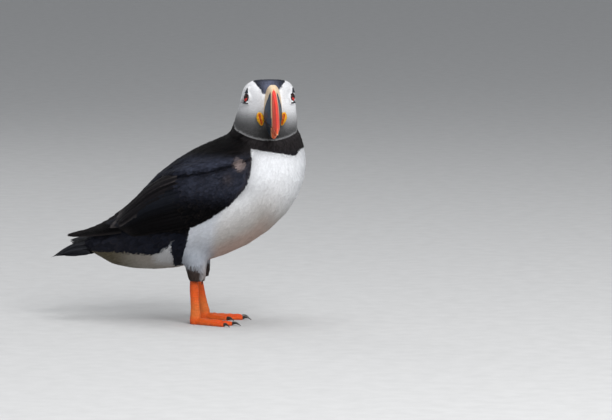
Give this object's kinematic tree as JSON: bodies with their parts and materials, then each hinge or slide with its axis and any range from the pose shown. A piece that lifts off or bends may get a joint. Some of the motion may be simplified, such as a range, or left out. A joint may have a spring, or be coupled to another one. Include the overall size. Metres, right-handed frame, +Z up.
{
  "type": "atlantic puffin",
  "caption": "Life-size museum-style model of a standing Atlantic puffin with its head turned to its right, wings folded.",
  "frame": {"origin": "centre of the bounding box's base, at the level of the soles", "axes": "+X the way the body faces, +Y the bird's left, +Z up"},
  "size_m": [0.2142, 0.1084, 0.2008],
  "materials": {
    "face_plumage": "matte, white to grey",
    "black_plumage": "matte, faint blue-black gloss",
    "white_plumage": "matte",
    "flight_feathers": "satin",
    "bill_horn": "satin horn: red-orange outer part, slate base, cream bands",
    "rosette_skin": "soft wrinkled skin",
    "eye": "wet gloss",
    "eye_plate": "satin horn",
    "leg_skin": "fine scales, satin",
    "claw": "satin horn"
  },
  "bodies": {
    "root": {"head": "face_plumage", "neck": "black_plumage", "trunk": "white_plumage", "bill_upper": "bill_horn", "bill_lower": "bill_horn", "tail": "flight_feathers", "eye_left": "eye", "rosette_left": "rosette_skin", "eye_plate_upper_left": "eye_plate", "eye_plate_lower_left": "eye_plate", "wing_left": "black_plumage", "primaries_left": "flight_feathers", "thigh_left": "white_plumage", "tarsus_left": "leg_skin", "foot_left": "leg_skin", "claw_inner_left": "claw", "claw_middle_left": "claw", "claw_outer_left": "claw", "eye_right": "eye", "rosette_right": "rosette_skin", "eye_plate_upper_right": "eye_plate", "eye_plate_lower_right": "eye_plate", "wing_right": "black_plumage", "primaries_right": "flight_feathers", "thigh_right": "white_plumage", "tarsus_right": "leg_skin", "foot_right": "leg_skin", "claw_inner_right": "claw", "claw_middle_right": "claw", "claw_outer_right": "claw"}
  },
  "joints": []
}
